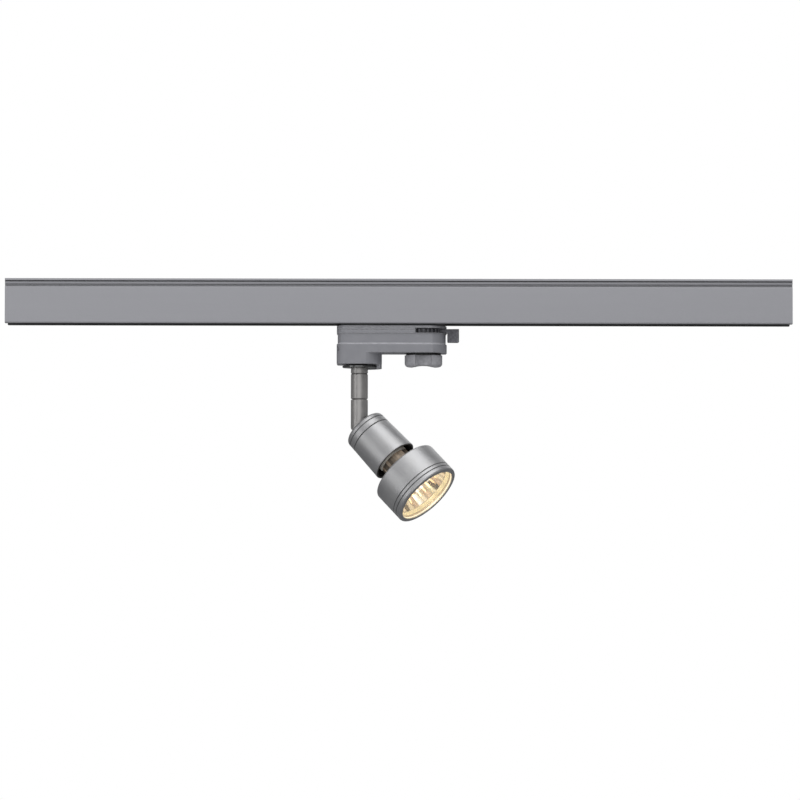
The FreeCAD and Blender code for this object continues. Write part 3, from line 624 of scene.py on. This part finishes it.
def lamp_bowl(place):
    """The reflector's pillowed facets, as one welded surface that is sharp between facets."""
    chance = random.Random(FACET_SEED)
    mesh = bmesh.new()
    # glow and tint hold each facet's painted reflection of the lit capsule and the room.
    glow = mesh.faces.layers.float.new("glow")
    tint = mesh.faces.layers.float_color.new("tint")

    def facet(row, sector):
        strength, colour = facet_look(row, chance)
        colour = tuple(channel * chance.uniform(0.92, 1.0) for channel in colour)
        corners = []
        for down in range(FACET_CELLS + 1):
            along = (row + down / FACET_CELLS) / FACET_ROWS
            distance = FACETS_START_MM + (FACETS_END_MM - FACETS_START_MM) * along ** FACET_CROWDING
            for across in range(FACET_CELLS + 1):
                turn = 2.0 * math.pi * (sector + across / FACET_CELLS) / FACET_SECTORS
                swell = FACET_SWELL_ALONG_MM * math.sin(math.pi * down / FACET_CELLS)
                swell += FACET_SWELL_ACROSS_MM * math.sin(math.pi * across / FACET_CELLS)
                radius = bowl_radius(distance) - BOWL_WALL_MM - swell
                corners.append(mesh.verts.new(ring_point(radius, distance, turn)))
        width = FACET_CELLS + 1
        for down in range(FACET_CELLS):
            for across in range(FACET_CELLS):
                start = down * width + across
                around = (start, start + width, start + width + 1, start + 1)
                face = mesh.faces.new([corners[index] for index in around])
                face.smooth = True
                # A painted highlight down the middle of each pillow.
                streak = 0.55 + 0.75 * math.sin(math.pi * (across + 0.5) / FACET_CELLS)
                face[glow] = strength * streak * chance.uniform(0.9, 1.1)
                face[tint] = (*colour, 1.0)

    for row in range(FACET_ROWS):
        for sector in range(FACET_SECTORS):
            facet(row, sector)
    bmesh.ops.remove_doubles(mesh, verts=mesh.verts, dist=WELD_MM * MM)
    for edge in mesh.edges:
        tints = {tuple(face[tint]) for face in edge.link_faces}
        edge.smooth = len(tints) == 1
    to_object("lamp_bowl_facets", mesh, bowl_mirror(), place, "lamp")


def lamp_shell(place):
    """The bowl's pressed-glass body behind the facets; each facet's patch of its back has its own shade."""
    steps = 16
    back = [(LAMP_NECK_R_MM, LAMP_NECK_MM)]
    for index in range(steps + 1):
        distance = LAMP_SHOULDER_MM + (LAMP_RIM_MM - LAMP_SHOULDER_MM) * (index / steps) ** 1.6
        back.append((bowl_radius(distance), distance))
    lining = [(radius - BOWL_WALL_MM * 0.55, distance) for radius, distance in reversed(back[1:])]
    flange = [
        (LAMP_R_MM - 0.4, LAMP_RIM_MM + 0.5), (LAMP_R_MM - 0.4, LAMP_RIM_MM + 0.9),
        (LAMP_R_MM - 1.2, LAMP_RIM_MM + 0.9),
    ]
    hole = [(5.0, LAMP_NECK_MM + 1.2), (5.0, LAMP_NECK_MM)]
    outline = back + flange + lining + hole
    mesh = turned(outline, FACET_SECTORS * 4)
    shade = mesh.faces.layers.float.new("shade")
    chance = random.Random(FACET_SEED)
    tones = {}
    for face in mesh.faces:
        centre = face.calc_center_median()
        sector = int(math.atan2(centre.y, centre.x) / (2.0 * math.pi) * FACET_SECTORS + FACET_SECTORS)
        row = int((-centre.z / MM - LAMP_NECK_MM) / BACK_ROW_MM)
        face[shade] = tones.setdefault((sector, row), chance.random() ** 1.5)
    to_object("lamp_shell", mesh, bowl_back(), place, "lamp", "lamp_reflector")


def lamp_rim(place):
    """The rim, whose plain wall leads in to the facets."""
    inner = LAMP_R_MM - BOWL_WALL_MM
    shoulder = LAMP_RIM_MM + 1.0
    facet_edge = bowl_radius(FACETS_END_MM) - BOWL_WALL_MM
    outline = softened([
        (LAMP_R_MM, shoulder), (LAMP_R_MM, LAMP_FRONT_MM), (inner, LAMP_FRONT_MM),
        (facet_edge, FACETS_END_MM), (inner + 0.4, shoulder),
    ], 0.35)
    to_object("lamp_rim", turned(outline), rim_glass(), place, "lamp")


def lamp_lens(place):
    """The cover glass: a shallow dome with a thick edge."""
    edge = LAMP_R_MM - BOWL_WALL_MM - 0.1
    back = LAMP_FRONT_MM - 1.9
    front = LAMP_FRONT_MM - 0.3
    dome = [(edge * step / 12.0, front - 0.45 * (step / 12.0) ** 2) for step in range(13)]
    outline = dome + [(edge, back), (0.0, back)]
    glass = clear_glass("cover_glass", (0.98, 0.93, 0.80), 0.05, 0.22)
    to_object("lamp_lens", turned(outline), glass, place, "lamp", "lamp_front_glass")


def lamp_capsule(place):
    """The halogen capsule, pinched at its foot and drawn to a tip."""
    foot = LAMP_NECK_MM
    outline = [
        (0.0, foot), (3.4, foot), (3.6, foot + 1.0), (3.5, foot + 7.0), (4.0, foot + 9.0),
        (4.9, foot + 11.0), (5.2, foot + 13.5), (5.2, foot + 19.0), (4.9, foot + 21.0), (4.0, foot + 22.8),
        (2.6, foot + 24.0), (1.2, foot + 24.5), (0.8, foot + 24.8), (0.0, foot + 24.8),
    ]
    glass = clear_glass("capsule_glass", (1.0, 0.9, 0.7), 0.08, 0.3)
    mesh = turned(softened(outline, 0.6), 48)
    to_object("lamp_capsule_glass", mesh, glass, place, "lamp", "lamp_capsule")


def lamp_coil(place):
    """The tungsten coil across the capsule, with its two legs."""
    level = -(LAMP_NECK_MM + 17.0)
    leg = COIL_HALF_MM - 0.4
    points = [(0.0, -leg, level + 6.0), (0.0, -leg, level + 1.4)]
    for step in range(COIL_TURNS * COIL_STEPS + 1):
        angle = 2.0 * math.pi * step / COIL_STEPS
        along = -COIL_HALF_MM + 2.0 * COIL_HALF_MM * step / (COIL_TURNS * COIL_STEPS)
        points.append((COIL_R_MM * math.sin(angle), along * 0.95, level + COIL_R_MM * math.cos(angle)))
    points += [(0.0, leg, level + 1.4), (0.0, leg, level + 6.0)]
    curve = bpy.data.curves.new("lamp_coil", "CURVE")
    curve.dimensions = "3D"
    curve.bevel_depth = COIL_WIRE_R_MM * MM
    curve.bevel_resolution = 2
    spline = curve.splines.new("POLY")
    spline.points.add(len(points) - 1)
    for point, spot_mm in zip(spline.points, points):
        point.co = (*(Vector(spot_mm) * MM), 1.0)
    curve.materials.append(hot_wire())
    curve.transform(place)
    coil = bpy.data.objects.new("lamp_coil", curve)
    bpy.context.scene.collection.objects.link(coil)
    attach(coil, "lamp")
    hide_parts("lamp_filament")


def lamp_glow(place):
    """The light that the lamp itself gives: enough to warm the ring's lip, not to light the room."""
    light = bpy.data.lights.new("lamp_glow", "POINT")
    light.energy = LAMP_GLOW_WATTS
    light.color = (1.0, 0.80, 0.52)
    light.shadow_soft_size = 4.0 * MM
    glow = bpy.data.objects.new("lamp_glow", light)
    bpy.context.scene.collection.objects.link(glow)
    glow.matrix_world = place @ Matrix.Translation((0.0, 0.0, -(LAMP_RIM_MM - 2.0) * MM))
    glow.parent = frame["bodies"]["lamp"]


def build_lamp():
    place = head_frame()
    lamp_bowl(place)
    lamp_shell(place)
    lamp_rim(place)
    lamp_lens(place)
    lamp_capsule(place)
    lamp_coil(place)
    lamp_glow(place)


# ---------------------------------------------------------------- stage

def floor_finish():
    """Pale matt floor that fades out towards its edge."""
    material, tree, shader = new_material("floor_finish")
    cloud = noise(tree, 400.0, 3.0)
    link(tree, mixed(tree, spread(tree, cloud, 0.0, 1.0), (0.90, 0.90, 0.895), (0.93, 0.93, 0.925)),
         shader.inputs["Base Color"])
    shader.inputs["Roughness"].default_value = 0.8
    length = add(tree, "ShaderNodeVectorMath", operation="LENGTH")
    link(tree, object_space(tree), length.inputs[0])
    solid = spread(tree, length.outputs["Value"], 1.0, 0.0, FLOOR_RADIUS * 0.45, FLOOR_RADIUS * 0.98)
    link(tree, solid, shader.inputs["Alpha"])
    return material


def build_floor():
    mesh = bmesh.new()
    bmesh.ops.create_circle(mesh, cap_ends=True, segments=96, radius=FLOOR_RADIUS)
    data = bpy.data.meshes.new("floor")
    mesh.to_mesh(data)
    mesh.free()
    data.materials.append(floor_finish())
    floor = bpy.data.objects.new("floor", data)
    floor.location = (0.0, 0.0, FLOOR_LEVEL)
    floor.visible_glossy = False
    bpy.context.scene.collection.objects.link(floor)


def softbox(name, azimuth, elevation, distance, width, height, radiance):
    """An area light that faces the object; azimuth 0 is the camera's side and positive is to its right."""
    light = bpy.data.lights.new(name, "AREA")
    light.shape = "RECTANGLE"
    light.size = width
    light.size_y = height
    light.energy = radiance * math.pi * width * height
    box = bpy.data.objects.new(name, light)
    turn, rise = math.radians(azimuth), math.radians(elevation)
    away = Vector((math.sin(turn) * math.cos(rise), -math.cos(turn) * math.cos(rise), math.sin(rise)))
    box.location = AIM + away * distance
    box.rotation_mode = "QUATERNION"
    box.rotation_quaternion = away.to_track_quat("Z", "Y")
    bpy.context.scene.collection.objects.link(box)


def build_lights():
    """Each softbox has its azimuth and elevation in degrees, distance, width, height and radiance."""
    softbox("key", 30.0, 62.0, 2.8, 2.4, 2.8, 2.1)
    softbox("left_strip", -58.0, -2.0, 2.4, 0.8, 1.8, 1.9)
    softbox("front", -4.0, 12.0, 3.1, 3.0, 3.2, 1.15)
    softbox("right_fill", 104.0, 12.0, 2.6, 1.6, 1.8, 0.18)
    softbox("behind", 178.0, 26.0, 2.8, 3.0, 2.0, 0.95)


def build_world():
    """White behind the object; a dimmer grey room is what lights it and shows in its gloss."""
    world = bpy.data.worlds.new("studio")
    world.use_nodes = True
    bpy.context.scene.world = world
    tree = world.node_tree
    room = tree.nodes["Background"]
    room.inputs["Color"].default_value = (0.97, 0.98, 1.0, 1.0)
    room.inputs["Strength"].default_value = ROOM_STRENGTH
    seen = add(tree, "ShaderNodeBackground", {"Color": (1.0, 1.0, 1.0, 1.0), "Strength": 1.0})
    path = add(tree, "ShaderNodeLightPath")
    choose = add(tree, "ShaderNodeMixShader")
    link(tree, path.outputs["Is Camera Ray"], choose.inputs["Fac"])
    link(tree, room.outputs["Background"], choose.inputs[1])
    link(tree, seen.outputs["Background"], choose.inputs[2])
    link(tree, choose.outputs["Shader"], tree.nodes["World Output"].inputs["Surface"])


def build_camera():
    data = bpy.data.cameras.new("camera")
    data.lens = CAMERA_LENS
    data.sensor_width = CAMERA_SENSOR
    data.clip_end = 50.0
    camera = bpy.data.objects.new("camera", data)
    bpy.context.scene.collection.objects.link(camera)
    back = Vector((0.0, -math.cos(CAMERA_ELEVATION), math.sin(CAMERA_ELEVATION)))
    track_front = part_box("track_profile")[0].y
    distance = PICTURE_WIDTH * CAMERA_LENS / CAMERA_SENSOR - track_front
    camera.location = AIM + back * distance
    camera.rotation_mode = "QUATERNION"
    roll = Matrix.Rotation(CAMERA_ROLL, 3, "Z").to_quaternion()
    camera.rotation_quaternion = back.to_track_quat("Z", "Y") @ roll
    bpy.context.scene.camera = camera


bpy.context.scene.view_settings.view_transform = "Standard"
dress_packed_parts()
build_lamp()
build_floor()
build_lights()
build_world()
build_camera()
